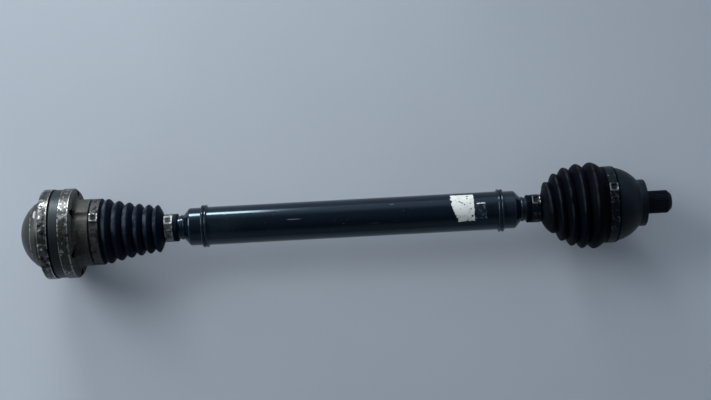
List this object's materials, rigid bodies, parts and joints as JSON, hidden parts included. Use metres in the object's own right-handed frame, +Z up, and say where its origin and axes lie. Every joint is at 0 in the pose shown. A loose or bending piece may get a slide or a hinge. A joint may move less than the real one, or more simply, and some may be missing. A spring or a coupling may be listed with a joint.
{
  "type": "axle shaft",
  "caption": "Tubular drive axle shaft with a bolt-on plunging ball joint at one end, a fixed ball joint with a splined stub at the other, pleated rubber boots and ear clamps",
  "frame": {"origin": "Centre of the gearbox flange face, on the shaft axis and the centre of its bolt circle.", "axes": "+X runs along the shaft from the gearbox flange to the wheel, +Z is up with the shaft lying on a floor, +Y completes the right-handed frame."},
  "size_m": [0.782, 0.108, 0.108],
  "materials": {
    "tube_black": "gloss black paint with small scuffs",
    "forged_black": "satin black paint over a forged surface",
    "ring_steel": "dark grey phosphated steel, ground smooth",
    "zinc_sheet": "pressed zinc-plated sheet, scuffed bright and dirty",
    "seal_rubber": "black rubber",
    "boot_rubber": "matt black rubber with a little dust",
    "clamp_steel": "stainless band, dirty",
    "clamp_black": "black coated band, scratched to bare steel",
    "race_steel": "hardened and ground steel, greased",
    "ball_steel": "polished bearing steel",
    "spring_steel": "blackened spring steel"
  },
  "bodies": {
    "shaft": {"shaft_tube": "tube_black", "inboard_stub_shaft": "forged_black", "outboard_stub_shaft": "forged_black", "inboard_inner_race": "race_steel", "inboard_circlip": "spring_steel", "inboard_spring_washer": "spring_steel", "inboard_small_clamp": "clamp_steel", "outboard_inner_race": "race_steel", "outboard_circlip": "spring_steel", "outboard_spring_washer": "spring_steel", "outboard_small_clamp": "clamp_black"},
    "inboard_boot_body": {"inboard_boot": "boot_rubber"},
    "inboard_cage_body": {"inboard_cage": "race_steel", "inboard_ball_1": "ball_steel", "inboard_ball_2": "ball_steel", "inboard_ball_3": "ball_steel", "inboard_ball_4": "ball_steel", "inboard_ball_5": "ball_steel", "inboard_ball_6": "ball_steel"},
    "inboard_housing": {"inboard_joint_ring": "ring_steel", "inboard_end_cap": "zinc_sheet", "end_cap_seal": "seal_rubber", "boot_cover": "zinc_sheet", "inboard_large_clamp": "clamp_steel"},
    "outboard_cage_body": {"outboard_cage": "race_steel", "outboard_ball_1": "ball_steel", "outboard_ball_2": "ball_steel", "outboard_ball_3": "ball_steel", "outboard_ball_4": "ball_steel", "outboard_ball_5": "ball_steel", "outboard_ball_6": "ball_steel"},
    "outboard_housing": {"outboard_bell": "forged_black", "outboard_boot": "boot_rubber", "outboard_large_clamp": "clamp_black"}
  },
  "joints": [
    {"name": "inboard_plunge", "type": "slide", "parent": "inboard_boot_body", "child": "shaft", "axis": [1, 0, 0], "range_m": [-0.012, 0.012], "deforming": ["inboard_boot"]},
    {"name": "inboard_tilt", "type": "hinge", "parent": "inboard_housing", "child": "inboard_boot_body", "pos_m": [0.02, 0, 0], "axis": [0, 0, 1], "range_deg": [-20, 20], "deforming": ["inboard_boot"]},
    {"name": "inboard_cage_tilt", "type": "hinge", "parent": "inboard_housing", "child": "inboard_cage_body", "pos_m": [0.02, 0, 0], "axis": [0, 0, 1], "range_deg": [-10, 10]},
    {"name": "outboard_tilt", "type": "hinge", "parent": "shaft", "child": "outboard_housing", "pos_m": [0.676, 0, 0], "axis": [0, 0, 1], "range_deg": [-45, 45], "deforming": ["outboard_boot"]},
    {"name": "outboard_cage_tilt", "type": "hinge", "parent": "shaft", "child": "outboard_cage_body", "pos_m": [0.676, 0, 0], "axis": [0, 0, 1], "range_deg": [-22.5, 22.5]}
  ],
  "couplings": [
    {"joint": "inboard_cage_tilt", "follows": "inboard_tilt", "ratio": 0.5},
    {"joint": "outboard_cage_tilt", "follows": "outboard_tilt", "ratio": 0.5}
  ]
}
